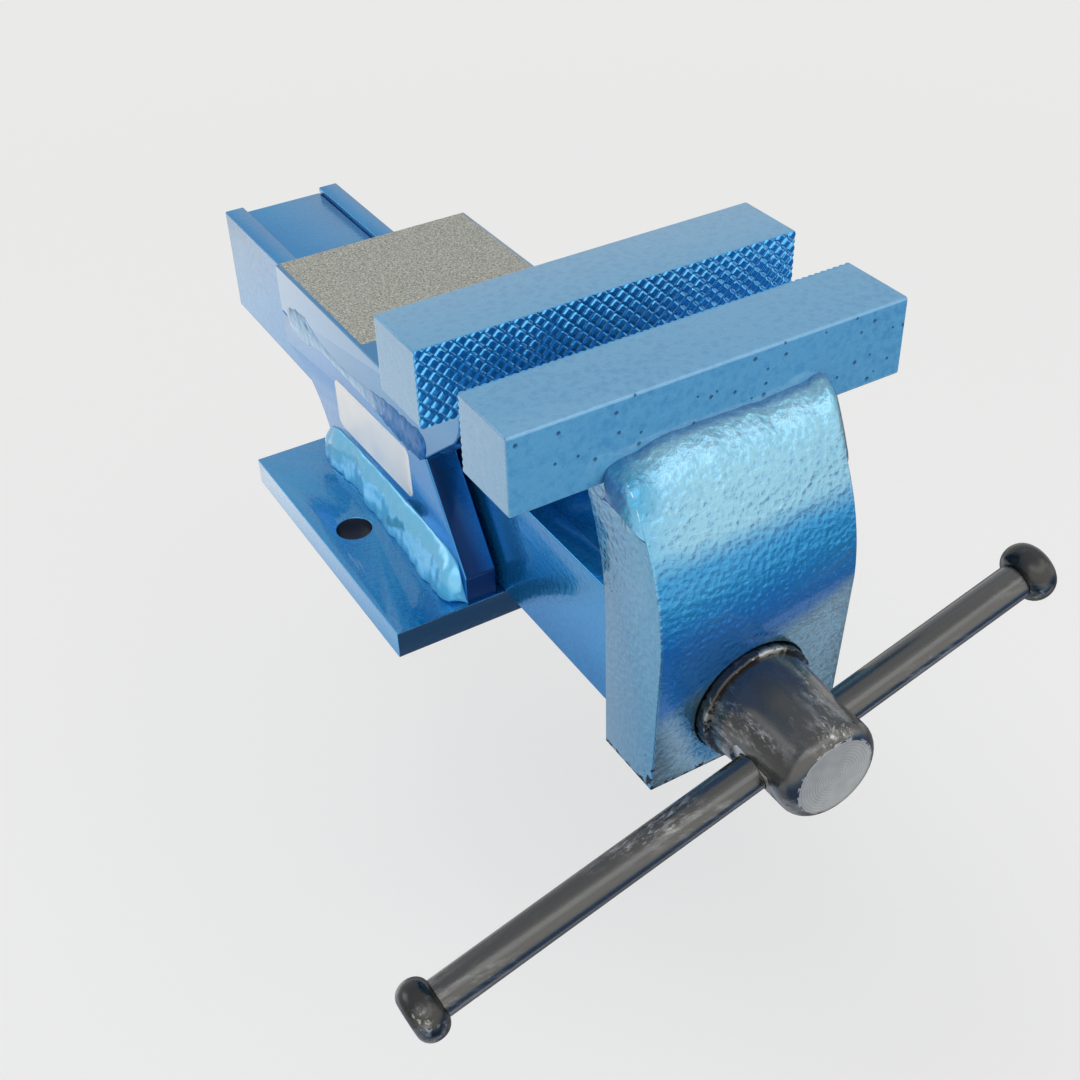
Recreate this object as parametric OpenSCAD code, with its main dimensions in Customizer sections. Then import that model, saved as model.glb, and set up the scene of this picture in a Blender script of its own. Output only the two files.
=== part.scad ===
// Parallel bench vise, welded from steel plate and square bar.
// Millimetres, +Z up, -Y towards the person who turns the handle.
// The origin lies on the underside of the base plate, midway between its two bolt holes.

/* [Base plate] */
// Width of the base plate, across the vise
base_w = 130; // [115:1:170]
// Depth of the base plate, along the spindle
base_l = 117; // [100:1:150]
// Thickness of the base plate
base_t = 10; // [6:0.5:16]
// Distance from the middle of a bolt hole to the near end of the plate
bolt_inset = 12.3; // [11:0.1:14]
// Diameter of the bolt holes
bolt_hole_d = 12.5; // [8:0.5:14]

/* [Jaws] */
// Width of both jaw bars
jaw_w = 125; // [100:1:160]
// Depth of a jaw bar, along the spindle
jaw_depth = 24.5; // [18:0.5:32]
// Height of a jaw bar
jaw_h = 24; // [18:0.5:32]
// How far the fixed jaw's gripping face stands in front of the base plate
jaw_reach = 27.5; // [22:0.5:40]
// Height of the jaws' top above the anvil
jaw_rise = 52.8; // [44:0.2:64]
// Opening between the gripping faces as drawn
jaw_gap = 23.4; // [5:0.1:60]
// Widest opening of the jaws
jaw_gap_max = 125; // [100:1:130]
// Distance between two grooves of the cross-hatched gripping faces
groove_pitch = 3.1; // [2.4:0.1:5]
// Depth of the grooves
groove_depth = 0.7; // [0.4:0.1:1.4]

/* [Body] */
// Thickness of a cheek plate
cheek_t = 11; // [8:0.5:12]
// Thickness of the anvil block above the slide
anvil_t = 18.8; // [14:0.2:26]
// Distance from the rear of the base plate to the rear of the anvil
anvil_tail = 23.5; // [10:0.5:35]
// Thickness of the neck behind the fixed jaw
neck_t = 21.5; // [16:0.5:30]
// Radius where the neck runs into the anvil
neck_r = 30; // [20:1:34]
// Radius of the block's lower front corner
chin_r = 17; // [12:0.5:20]
// How far the cheeks' front edge leans back towards the top
cheek_rake = 23.5; // [14:0.5:28]
// Height of the upright foot of the cheeks' front edge
cheek_toe_h = 10; // [4:0.5:16]
// Radius of the cheeks' hollow rear edge
cheek_flare_r = 38; // [35:0.5:42]
// Height of the cheeks' rear end under the anvil
cheek_tail_h = 13.4; // [9:0.2:16]

/* [Slide] */
// Width of the slide
slide_w = 51; // [46:0.5:56]
// Height of the slide
slide_h = 43.6; // [40:0.2:52]
// Length of the slide behind the carrier
slide_l = 305.5; // [280:0.5:320]
// Thickness of the slide's side bars
slide_bar_t = 8.2; // [6:0.1:9]
// Thickness of the plate between the side bars
slide_plate_t = 6; // [4:0.2:8]
// How deep that plate lies below the top of the side bars
slide_recess = 2.5; // [1:0.1:4]

/* [Carrier] */
// Width of the carrier of the moving jaw
carrier_w = 65.2; // [58:0.2:76]
// Thickness of the carrier at its thickest
carrier_t = 27.1; // [25:0.1:32]
// How far the carrier's rear face stands in front of the moving gripping face
carrier_setback = 21.1; // [17:0.1:23]
// How much the front face leans back towards the foot
carrier_foot_taper = 3.4; // [1:0.1:4]
// Height of the carrier's foot above the bench
carrier_foot_z = 6.4; // [1:0.2:8]
// Radius of the carrier's hollow rear face
carrier_rear_r = 90; // [80:1:110]
// Radius of the carrier's bulging front face
carrier_front_r = 75; // [70:1:90]

/* [Spindle] */
// Height of the spindle's axis above the base plate
spindle_rise = 18.2; // [17:0.2:19]
// Outer diameter of the screw
screw_d = 22; // [16:0.5:22.4]
// Travel of the screw in one turn
screw_lead = 5; // [3:0.5:6]
// Diameter of the head at its root
head_root_d = 34.4; // [30:0.2:36]
// Diameter of the head in front of the bar hole
head_nose_d = 31.4; // [28:0.2:34]
// Length of the head
head_l = 33.4; // [30:0.2:40]
// Distance from the head's root to the bar hole
bar_hole_at = 16.8; // [14:0.2:20]
// Diameter of the ring between head and carrier
thrust_ring_d = 37.4; // [36:0.2:42]
// Thickness of that ring
thrust_ring_t = 5.5; // [3:0.1:8]
// Thickness of the carrier where the spindle passes through it
seat_t = 23.2; // [20:0.1:23.4]

/* [Handle] */
// Diameter of the handle bar
bar_d = 11; // [8:0.2:12]
// Length of the bar between its end knobs
bar_l = 197.2; // [150:0.2:240]
// Tilt of the bar, right end up
bar_tilt = 16.1; // [-80:0.1:80]
// How far the bar is pushed through towards its left end
bar_shift = 19; // [-40:1:40]
// Diameter of the end knobs
knob_d = 17.6; // [15:0.2:22]
// Length of the end knobs
knob_l = 9.5; // [7:0.1:14]

/* [Hidden] */
$fn = 72;

// Clearances and the overrun of every cut
slide_floor_clear = 0.3;
slide_roof_clear = 0.5;
slide_side_clear = 2.5;
nut_side_clear = 0.3;
nut_roof_clear = 1.5;
running_clear = 0.06;
face_clear = 0.3;
bar_clear = 0.3;
cut = 1;

// Widths
bolt_spacing = base_w - 2 * bolt_inset;
body_w = slide_w + 2 * (slide_side_clear + cheek_t);

// Heights
slide_z = base_t + slide_floor_clear;
slide_top_z = slide_z + slide_h;
block_z = slide_top_z + slide_roof_clear;
anvil_z = block_z + anvil_t;
jaw_top_z = anvil_z + jaw_rise;
jaw_z = jaw_top_z - jaw_h;
spindle_z = base_t + spindle_rise;
slide_plate_top_z = slide_top_z - slide_recess;
slide_plate_z = slide_plate_top_z - slide_plate_t;

// Places along the spindle, from the back to the front
body_rear_y = base_l / 2 + anvil_tail;
fixed_face_y = -base_l / 2 - jaw_reach;
block_front_y = fixed_face_y + jaw_depth;
moving_face_y = fixed_face_y - jaw_gap;
jaw_front_y = moving_face_y - jaw_depth;
carrier_rear_y = moving_face_y - carrier_setback;
carrier_front_y = carrier_rear_y - carrier_t;
seat_y = carrier_rear_y - seat_t;
ring_rear_y = seat_y - face_clear;
head_root_y = ring_rear_y - thrust_ring_t;
bar_y = head_root_y - bar_hole_at;

// Neck behind the fixed jaw
neck_top_drop = 14;
neck_top_r = 6;
neck_top_z = jaw_top_z - neck_top_drop;
neck_rear_y = block_front_y + neck_t;
chin_end_deg = 235;
chin_rise_share = 0.635;
chin_centre = [block_front_y + chin_r, anvil_z + chin_r * chin_rise_share];
anvil_corner_r = 1.5;

// Cheeks
cheek_inset = 1;
cheek_toe_y = -base_l / 2 + cheek_inset;
cheek_top_y = cheek_toe_y + cheek_rake - cheek_inset;
flare_centre = [body_rear_y, block_z - cheek_tail_h - cheek_flare_r];
flare_foot_deg = 180 - asin((base_t - flare_centre[1]) / cheek_flare_r);
cheek_heel_y = flare_centre[0] + cheek_flare_r * cos(flare_foot_deg);

// Slide and nut
slide_inner_w = slide_w - 2 * slide_bar_t;
nut_w = slide_inner_w - 2 * nut_side_clear;
nut_l = 50;
nut_shift = 5;
nut_h = slide_plate_z - nut_roof_clear - base_t;
nut_rear_y = nut_shift + nut_l / 2;
nut_edge = 1.5;
bolt_d = 6;
bolt_head_d = 12;
bolt_head_h = 3.3;
bolt_tip_clear = 1.2;
bolt_in_nut = spindle_rise - screw_d / 2 - bolt_tip_clear;
bolt_socket_d = 4.6;
bolt_socket_depth = 2;
bolt_edge = 5;
bolt_across = nut_w - 2 * bolt_edge;
bolt_end = 8;
bolt_along = nut_l - 2 * bolt_end;

// Carrier: the front bulges most this share of the carrier's thickness above the slide
carrier_bulge_share = 0.19;
carrier_top_deg = asin((jaw_z - slide_top_z) / carrier_rear_r);
carrier_top_rear_y = carrier_rear_y + carrier_rear_r * (1 - cos(carrier_top_deg));

// Screw: at the widest opening it still fills the nut, with some turns to spare
spare_turns = 2;
screw_rear_y = nut_rear_y + jaw_gap_max - jaw_gap + spare_turns * screw_lead;
thread_depth = screw_lead / 2;

// Head of the spindle, and what holds the spindle in the carrier
head_nose_r = 5;
head_taper_l = 20;
washer_t = 3;
washer_d = 28;
collar_t = 14;
collar_d = 29;
collar_rear_y = carrier_rear_y + face_clear + washer_t + collar_t;
pin_d = 5;

// Handle
bar_hole_d = bar_d + 2 * bar_clear;
spot_face_d = 17;
spot_face_at = 15.2;
spigot_d = 7;
spigot_l = 5;
knob_swell_deg = 66;
knob_steps = 14;

// Weld beads
foot_weld_out = 6;
foot_weld_up = 15;
foot_weld_rear = 4;
side_weld_out = 2.6;
side_weld_h = 10;
side_weld_rear = 8;
jaw_weld = 6;
carrier_weld_up = 8.5;
carrier_weld_out = 9.6;
carrier_weld_wrap = 2.6;
carrier_rear_weld = 5;
ripple_pitch = 6;
rough_share = 0.07;
smooth_share = 0.02;
wander_share = 0.06;
wander_pitch = 26;
bead_stations = 36;
bead_end_share = 0.4;
bead_end_max_share = 0.3;

function arc(centre, r, from_deg, to_deg, steps) = [
    for (i = [0:steps])
        let (a = from_deg + (to_deg - from_deg) * i / steps)
            centre + r * [cos(a), sin(a)]
];

// Extrudes an outline of (y, z) points across the vise
module across(w, x = 0) {
    translate([x - w / 2, 0, 0])
        rotate([90, 0, 90])
            linear_extrude(height = w)
                children();
}

// Lays a shape that is drawn along +Z along the spindle, towards the handle
module along_spindle(y) {
    translate([0, y, spindle_z])
        rotate([90, 0, 0])
            children();
}

// Lays a shape that is drawn along +Z along the handle bar, left end first
module along_bar(at) {
    translate([0, bar_y, spindle_z])
        rotate([0, 90 - bar_tilt, 0])
            translate([0, 0, at])
                children();
}

// Outlines of a weld bead, as (out, up) points
function fillet_outline(out, up) =
    concat([[0, 0]], [for (a = [0:22.5:90]) [out * cos(a), up * sin(a)]]);
function seam_outline(out, height) =
    [for (a = [-90:36:90]) [out * cos(a), height / 2 * sin(a)]];

// Thickness of a bead along its length: rounded ends, ripples and a slow wander
function bead_end(s, r_share) =
    let (d = min(s, 1 - s) / r_share)
        d >= 1 ? 1 : bead_end_share + (1 - bead_end_share) * sqrt(1 - pow(1 - d, 2));
function bead_size(s, l, r_share, ripple_share) =
    bead_end(s, r_share) * (1 + ripple_share * sin(360 * s * l / ripple_pitch)
    + wander_share * sin(360 * s * l / wander_pitch));

// A weld bead from the origin along +X, lying out towards -Y and up towards +Z
module weld_bead(outline, l, ripple_share = rough_share) {
    n = len(outline);
    r_share = min(bead_end_max_share, max([for (q = outline) max(q)]) / l);
    rings = [for (j = [0:bead_stations]) j / bead_stations];
    spots = [
        for (s = rings)
            let (k = bead_size(s, l, r_share, ripple_share))
                for (q = outline) [s * l, -q[0] * k, q[1] * k]
    ];
    skin = [
        for (j = [0:bead_stations - 1], i = [0:n - 1])
            let (a = j * n + i, b = j * n + (i + 1) % n)
                each [[a, b, b + n], [a, b + n, a + n]]
    ];
    start_cap = [for (i = [n - 1:-1:0]) i];
    end_cap = [for (i = [0:n - 1]) bead_stations * n + i];
    polyhedron(points = spots, faces = concat(skin, [start_cap, end_cap]), convexity = 4);
}

// A jaw bar with its gripping face at y = 0, looking towards -Y.
// Two families of grooves cross at right angles and leave rows of small pyramids:
// the valleys meet at every second point of the grid, and the tips stand between them.
module jaw_bar() {
    nx = 2 * round(jaw_w / groove_pitch / sqrt(2));
    nz = round(jaw_h / groove_pitch * sqrt(2));
    rows = nz + 1;
    back = (nx + 1) * rows;
    function at(i, k) = i * rows + k;
    function spot(i, k, y) = [(i / nx - 1 / 2) * jaw_w, y, k / nz * jaw_h];
    tips = [for (i = [0:nx], k = [0:nz]) spot(i, k, (i + k) % 2 == 0 ? groove_depth : 0)];
    teeth = [
        for (i = [0:nx - 1], k = [0:nz - 1])
            let (a = at(i, k), b = at(i + 1, k), c = at(i + 1, k + 1), d = at(i, k + 1))
                each (i + k) % 2 == 0 ? [[a, d, c], [a, c, b]] : [[a, d, b], [d, c, b]]
    ];
    // The rim of the toothed face, once round, and the same rim on the flat back
    rim = concat(
        [for (i = [0:nx - 1]) [i, 0]], [for (k = [0:nz - 1]) [nx, k]],
        [for (i = [nx:-1:1]) [i, nz]], [for (k = [nz:-1:1]) [0, k]]
    );
    n = len(rim);
    rear = [for (q = rim) spot(q[0], q[1], jaw_depth)];
    hub = back + n;
    skirt = [
        for (j = [0:n - 1])
            let (a = at(rim[j][0], rim[j][1]), m = (j + 1) % n, b = at(rim[m][0], rim[m][1]))
                each [[a, b, back + m], [a, back + m, back + j], [back + j, back + m, hub]]
    ];
    polyhedron(
        points = concat(tips, rear, [[0, jaw_depth, jaw_h / 2]]),
        faces = concat(teeth, skirt),
        convexity = 6
    );
}

// Flat plate that is bolted to the bench; the nut is screwed on from below
module base_plate() {
    color([0.12, 0.42, 0.72])
        difference() {
            translate([-base_w / 2, -base_l / 2, 0])
                cube([base_w, base_l, base_t]);
            for (side = [-1, 1])
                translate([side * bolt_spacing / 2, 0, -cut])
                    cylinder(h = base_t + 2 * cut, d = bolt_hole_d);
            at_nut_screws() {
                translate([0, 0, -cut])
                    cylinder(h = base_t + 2 * cut, d = bolt_d);
                cylinder(h = bolt_head_h, d1 = bolt_head_d, d2 = bolt_d);
            }
        }
}

module at_nut_screws() {
    for (sx = [-1, 1], sy = [-1, 1])
        translate([sx * bolt_across / 2, nut_shift + sy * bolt_along / 2, 0])
            children();
}

// Side plate between base and anvil: raked in front, hollow behind
module cheek(side) {
    x = side * (body_w - cheek_t) / 2;
    color([0.22, 0.5, 0.8])
        across(cheek_t, x)
            polygon(concat(
                [[cheek_toe_y, base_t]],
                arc(flare_centre, cheek_flare_r, flare_foot_deg, 90, 12),
                [[body_rear_y, block_z], [cheek_top_y, block_z],
                [cheek_toe_y, base_t + cheek_toe_h]]
            ));
}

// Block over the slide: anvil at the back, neck for the fixed jaw in front
module anvil_block() {
    chin_end = chin_centre + chin_r * [cos(chin_end_deg), sin(chin_end_deg)];
    color([0.55, 0.6, 0.66])
        across(body_w)
            polygon(concat(
                [[cheek_top_y, block_z], [body_rear_y, block_z]],
                arc([body_rear_y - anvil_corner_r, anvil_z - anvil_corner_r],
                    anvil_corner_r, 0, 90, 4),
                arc([neck_rear_y + neck_r, anvil_z + neck_r], neck_r, 270, 180, 12),
                arc([neck_rear_y - neck_top_r, neck_top_z - neck_top_r],
                    neck_top_r, 0, 90, 6),
                [[block_front_y, neck_top_z]],
                arc(chin_centre, chin_r, 180, chin_end_deg, 8)
            ));
}

// Square bar welded across the front of the neck
module fixed_jaw() {
    color([0.3, 0.58, 0.82])
        translate([0, fixed_face_y, jaw_z])
            jaw_bar();
}

// Bead between a cheek and the base plate
module foot_weld(side) {
    l = cheek_heel_y + foot_weld_rear - cheek_toe_y;
    color([0.35, 0.68, 0.88])
        mirror([side > 0 ? 1 : 0, 0, 0])
            translate([-body_w / 2, cheek_heel_y + foot_weld_rear, base_t])
                rotate([0, 0, -90])
                    weld_bead(fillet_outline(foot_weld_out, foot_weld_up), l);
}

// Bead over the seam between a cheek and the anvil block
module side_weld(side) {
    rear_y = body_rear_y - side_weld_rear;
    color([0.2, 0.5, 0.78])
        mirror([side > 0 ? 1 : 0, 0, 0])
            translate([-body_w / 2, rear_y, block_z])
                rotate([0, 0, -90])
                    weld_bead(seam_outline(side_weld_out, side_weld_h),
                        rear_y - cheek_top_y);
}

// Beads that hold the fixed jaw on the neck, below and above
module fixed_jaw_lower_weld() {
    color([0.2, 0.5, 0.78])
        translate([-body_w / 2, block_front_y, jaw_z])
            mirror([0, 0, 1])
                weld_bead(fillet_outline(jaw_weld, jaw_weld), body_w);
}

module fixed_jaw_upper_weld() {
    color([0.2, 0.5, 0.78])
        translate([-body_w / 2, block_front_y, neck_top_z])
            mirror([0, 1, 0])
                weld_bead(fillet_outline(jaw_weld, jaw_weld), body_w);
}

// Nut block that stands on the base plate inside the slide and guides it sideways
module spindle_nut() {
    color([0.5, 0.5, 0.48])
        difference() {
            translate([0, nut_shift, base_t])
                linear_extrude(height = nut_h)
                    polygon([
                        for (c = [[-1, -1], [1, -1], [1, 1], [-1, 1]])
                            for (e = c[0] * c[1] > 0 ? [[0, 1], [1, 0]] : [[1, 0], [0, 1]])
                                [c[0] * (nut_w / 2 - e[0] * nut_edge),
                                c[1] * (nut_l / 2 - e[1] * nut_edge)]
                    ]);
            along_spindle(nut_rear_y + cut)
                cylinder(h = nut_l + 2 * cut, d = screw_d + 2 * running_clear);
            at_nut_screws()
                cylinder(h = base_t + bolt_in_nut, d = bolt_d);
        }
}

// Four countersunk socket screws that hold the nut block from below
module nut_screws() {
    color([0.25, 0.25, 0.27])
        at_nut_screws()
            difference() {
                union() {
                    cylinder(h = bolt_head_h, d1 = bolt_head_d, d2 = bolt_d);
                    cylinder(h = base_t + bolt_in_nut, d = bolt_d);
                }
                translate([0, 0, -cut])
                    cylinder(h = bolt_socket_depth + cut, d = bolt_socket_d, $fn = 6);
            }
}

// The slide: two side bars with a plate let in between them
module slide_bar(side) {
    x = side * (slide_w - slide_bar_t) / 2;
    color([0.2, 0.48, 0.78])
        translate([x - slide_bar_t / 2, carrier_rear_y, slide_z])
            cube([slide_bar_t, slide_l, slide_h]);
}

module slide_top_plate() {
    color([0.24, 0.55, 0.82])
        translate([-slide_inner_w / 2, carrier_rear_y, slide_plate_z])
            cube([slide_inner_w, slide_l, slide_plate_t]);
}

// Thick flame-cut carrier: hollow behind, bulging in front, thin under the jaw
module jaw_carrier() {
    rear_centre = [carrier_rear_y + carrier_rear_r, slide_top_z];
    front_z = slide_top_z + carrier_t * carrier_bulge_share;
    front_centre = [carrier_front_y + carrier_front_r, front_z];
    front_deg = asin((jaw_z - front_z) / carrier_front_r);
    color([0.4, 0.7, 0.88])
        difference() {
            across(carrier_w)
                polygon(concat(
                    [[carrier_front_y + carrier_foot_taper, carrier_foot_z],
                    [carrier_rear_y, carrier_foot_z]],
                    arc(rear_centre, carrier_rear_r, 180, 180 - carrier_top_deg, 10),
                    arc(front_centre, carrier_front_r, 180 - front_deg, 180, 12)
                ));
            along_spindle(carrier_rear_y + cut)
                cylinder(h = carrier_t + 2 * cut, d = screw_d + 2 * running_clear);
            along_spindle(seat_y)
                cylinder(h = carrier_t, d = thrust_ring_d + 2 * face_clear);
        }
}

// Square bar welded on top of the carrier
module moving_jaw() {
    color([0.32, 0.62, 0.85])
        translate([0, moving_face_y, jaw_z])
            rotate([0, 0, 180])
                jaw_bar();
}

// Beads that hold the moving jaw on the carrier, in front and behind
module carrier_front_weld() {
    l = carrier_w + 2 * carrier_weld_wrap;
    color([0.5, 0.8, 0.92])
        translate([-l / 2, jaw_front_y, jaw_z])
            weld_bead(fillet_outline(carrier_weld_out, carrier_weld_up), l, smooth_share);
}

module carrier_rear_weld() {
    color([0.2, 0.5, 0.78])
        translate([-carrier_w / 2, carrier_top_rear_y, jaw_z])
            rotate([180, 0, 0])
                weld_bead(fillet_outline(carrier_rear_weld, carrier_rear_weld), carrier_w);
}

// Screw and forged head in one piece, turned about the spindle axis
module spindle() {
    screw_l = screw_rear_y - head_root_y;
    head_end = screw_l + head_l;
    taper_end = screw_l + head_taper_l;
    nose = [head_nose_d / 2 - head_nose_r, head_end - head_nose_r];
    color([0.2, 0.2, 0.21])
        difference() {
            along_spindle(screw_rear_y)
                rotate_extrude()
                    polygon(concat(
                        [[0, 0], [screw_d / 2 - thread_depth, 0],
                        [screw_d / 2, thread_depth], [screw_d / 2, screw_l],
                        [head_root_d / 2, screw_l], [head_nose_d / 2, taper_end]],
                        arc(nose, head_nose_r, 0, 90, 8),
                        [[0, head_end]]
                    ));
            along_bar(-head_root_d)
                cylinder(h = 2 * head_root_d, d = bar_hole_d);
            for (side = [-1, 1])
                along_bar(side > 0 ? spot_face_at : -spot_face_at - head_root_d)
                    cylinder(h = head_root_d, d = spot_face_d);
        }
}

// Ring between the head and the carrier
module thrust_ring() {
    color([0.1, 0.1, 0.1])
        along_spindle(ring_rear_y)
            ring(thrust_ring_d, screw_d, thrust_ring_t);
}

module ring(outer_d, inner_d, t) {
    difference() {
        cylinder(h = t, d = outer_d);
        translate([0, 0, -cut])
            cylinder(h = t + 2 * cut, d = inner_d);
    }
}

// Washer and pinned collar behind the carrier keep the spindle in it
module thrust_washer() {
    color([0.7, 0.7, 0.7])
        along_spindle(carrier_rear_y + face_clear + washer_t)
            ring(washer_d, screw_d, washer_t);
}

module retaining_collar() {
    color([0.4, 0.4, 0.42])
        difference() {
            along_spindle(collar_rear_y)
                ring(collar_d, screw_d, collar_t);
            at_collar_pin()
                cylinder(h = collar_d, d = pin_d);
        }
}

module at_collar_pin() {
    translate([0, collar_rear_y - collar_t / 2, spindle_z + screw_d / 2])
        children();
}

// Short pin driven through the collar against the screw
module collar_pin() {
    color([0.6, 0.6, 0.62])
        at_collar_pin()
            cylinder(h = (collar_d - screw_d) / 2, d = pin_d);
}

// Sliding bar that turns the spindle, with a spigot for a knob at each end
module handle_bar() {
    color([0.16, 0.16, 0.17])
        along_bar(-bar_shift - bar_l / 2) {
            cylinder(h = bar_l, d = bar_d);
            translate([0, 0, -spigot_l])
                cylinder(h = bar_l + 2 * spigot_l, d = spigot_d);
        }
}

// Mushroom-shaped knob, its bore at the origin and its flat end at knob_l
module knob() {
    difference() {
        rotate_extrude()
            polygon(concat(
                [[0, 0]],
                [for (i = [0:knob_steps])
                    let (a = knob_swell_deg * (2 * i / knob_steps - 1))
                        [knob_d / 2 * sqrt(cos(a)),
                        knob_l / 2 * (1 + sin(a) / sin(knob_swell_deg))]],
                [[0, knob_l]]
            ));
        translate([0, 0, -cut])
            cylinder(h = spigot_l + cut, d = spigot_d);
    }
}

module left_knob() {
    color([0.18, 0.18, 0.19])
        along_bar(-bar_shift - bar_l / 2)
            mirror([0, 0, 1])
                knob();
}

module right_knob() {
    color([0.18, 0.18, 0.19])
        along_bar(bar_l / 2 - bar_shift)
            knob();
}

base_plate();
cheek(-1);  // left_cheek
cheek(1);  // right_cheek
anvil_block();
fixed_jaw();
foot_weld(-1);  // left_foot_weld
foot_weld(1);  // right_foot_weld
side_weld(-1);  // left_side_weld
side_weld(1);  // right_side_weld
fixed_jaw_lower_weld();
fixed_jaw_upper_weld();
spindle_nut();
nut_screws();
slide_bar(-1);  // slide_left_bar
slide_bar(1);  // slide_right_bar
slide_top_plate();
jaw_carrier();
moving_jaw();
carrier_front_weld();
carrier_rear_weld();
spindle();
thrust_ring();
thrust_washer();
retaining_collar();
collar_pin();
handle_bar();
left_knob();
right_knob();
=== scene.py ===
"""Parallel bench vise of welded steel, enamelled blue, with a black forged spindle."""
import math

import bmesh
import bpy
import numpy as np
from mathutils import Matrix, Vector


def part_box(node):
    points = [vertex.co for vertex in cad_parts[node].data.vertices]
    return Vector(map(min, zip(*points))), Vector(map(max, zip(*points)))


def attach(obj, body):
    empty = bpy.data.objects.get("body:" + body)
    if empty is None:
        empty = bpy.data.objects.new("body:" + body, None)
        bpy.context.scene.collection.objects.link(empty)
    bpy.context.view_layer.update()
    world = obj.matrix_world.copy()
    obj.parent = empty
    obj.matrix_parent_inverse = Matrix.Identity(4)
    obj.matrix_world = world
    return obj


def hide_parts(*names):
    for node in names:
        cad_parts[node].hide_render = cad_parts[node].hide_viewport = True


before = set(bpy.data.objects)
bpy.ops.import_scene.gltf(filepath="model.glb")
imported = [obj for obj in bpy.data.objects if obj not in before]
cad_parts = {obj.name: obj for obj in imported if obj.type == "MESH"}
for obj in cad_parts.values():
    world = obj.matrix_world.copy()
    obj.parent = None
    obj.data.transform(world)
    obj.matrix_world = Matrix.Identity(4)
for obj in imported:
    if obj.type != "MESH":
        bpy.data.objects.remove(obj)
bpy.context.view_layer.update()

MM = 0.001


# The camera stands in front of the vise, to the left and above it. Its place, direction and
# roll were solved from the edges of the vise in the square photograph.
camera_place = Vector((-0.19985, -0.39198, 0.32078))
camera_azimuth = math.radians(-29.449)
camera_elevation = math.radians(37.633)
camera_roll = math.radians(-2.107)


def add_object(name, data):
    """Puts new data into the scene as an object at the origin."""
    made = bpy.data.objects.new(name, data)
    bpy.context.collection.objects.link(made)
    return made


towards_camera = Vector((
    math.sin(camera_azimuth) * math.cos(camera_elevation),
    -math.cos(camera_azimuth) * math.cos(camera_elevation),
    math.sin(camera_elevation),
))
level = (-towards_camera).to_track_quat("-Z", "Y").to_matrix()
camera = add_object("camera", bpy.data.cameras.new("camera"))
camera.matrix_world = (
    Matrix.Translation(camera_place) @ (level @ Matrix.Rotation(camera_roll, 3, "Z")).to_4x4()
)
camera.data.lens = 49.447
camera.data.sensor_width = 36
camera.data.clip_start = 0.01
bpy.context.scene.camera = camera
bpy.context.scene.view_settings.view_transform = "Standard"


# Studio: a pale floor far enough down for the handle to turn over it, soft white light from above
# and around, and a room that the glossy enamel mirrors. The room is bright, but for a dark band
# low in front of the vise, which gives the upright faces their deep blue.
floor_z = -0.17
floor_reach = 30.0
floor_grey = (0.93, 0.93, 0.925)
floor_shadow_share = 0.5
shadow_fade = (0.35, 1.0)   # from here to there the floor's shadows fade out
background = (0.82, 0.82, 0.815)
light_level = 0.7
lamps = (                   # name, place, size and watts
    ("key_light", (-0.5, 0.3, 1.3), 0.9, 4),
    ("fill_light", (0.1, -1.3, 0.5), 1.2, 6),
)
brightest = 3.0             # above any level that the enamel mirrors
front_stops = (             # rise of the mirrored direction, and what it sees there
    (-1, (0.8, 0.88, 0.94)), (-0.78, (0.86, 0.98, 1.06)), (-0.74, (0.66, 0.78, 0.9)),
    (-0.69, (0.05, 0.14, 0.36)), (-0.5, (0.04, 0.15, 0.42)), (-0.38, (0.14, 0.34, 0.62)),
    (-0.29, (0.5, 0.72, 0.95)), (-0.2, (1.25, 1.35, 1.35)), (0.2, (1.75, 1.65, 1.5)),
    (0.55, (1.5, 1.5, 1.5)), (0.68, (2.5, 2.5, 2.45)), (0.9, (2.5, 2.5, 2.45)), (1, (1.2, 1.2, 1.2)),
)
front_y = (-0.15, -0.4)     # Y of the direction, from the sides to the front
front_lean = -0.75          # the dark band in front climbs to the right of this direction
front_middle = 0.48
front_width = 0.2
side_stops = (
    (-1, (0.5, 0.55, 0.6)), (-0.68, (0.5, 0.58, 0.7)), (-0.62, (0.75, 0.82, 0.9)),
    (-0.55, (0.98, 1.02, 1.05)), (-0.41, (1.02, 1.02, 1.02)), (-0.34, (0.7, 0.7, 0.7)),
    (0.08, (0.6, 0.6, 0.6)), (0.2, (0.62, 0.65, 0.68)), (0.35, (0.68, 0.74, 0.78)),
    (0.66, (0.64, 0.7, 0.75)), (1, (0.9, 0.9, 0.9)),
)
windows = (                 # edges of two windows behind, from dark to bright, and their light
    ((("Z", 0.62, 0.7), ("X", 0.22, 0.36), ("X", 0.78, 0.64)), (1.0, 1.0, 1.0)),
    ((("Z", 0.12, 0.24), ("Z", 0.62, 0.48), ("X", -0.82, -0.7), ("X", -0.4, -0.5)),
     (2.6, 2.6, 2.55)),
)
dim_rise = (-0.2, -0.35)    # the floor on the right, in the shade
dim_left = (0.05, 0.2)
dim_grey = (0.06, 0.06, 0.065)


def fill(node, inputs):
    """Fills inputs of a shader node: one given a socket is linked, one given a value is set."""
    for key, value in inputs.items():
        if isinstance(value, bpy.types.NodeSocket):
            node.id_data.links.new(value, node.inputs[key])
        else:
            node.inputs[key].default_value = value


def shade(tree, kind, inputs=None, **settings):
    """One shader node in a tree, with its inputs filled."""
    made = tree.nodes.new(kind)
    for key, value in settings.items():
        setattr(made, key, value)
    fill(made, inputs or {})
    return made


def span(value, low, high, to_low=0.0, to_high=1.0):
    """Output socket that runs from to_low to to_high while value runs from low to high."""
    made = shade(value.id_data, "ShaderNodeMapRange", {
        "Value": value, "From Min": low, "From Max": high, "To Min": to_low, "To Max": to_high,
    })
    return made.outputs["Result"]


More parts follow.
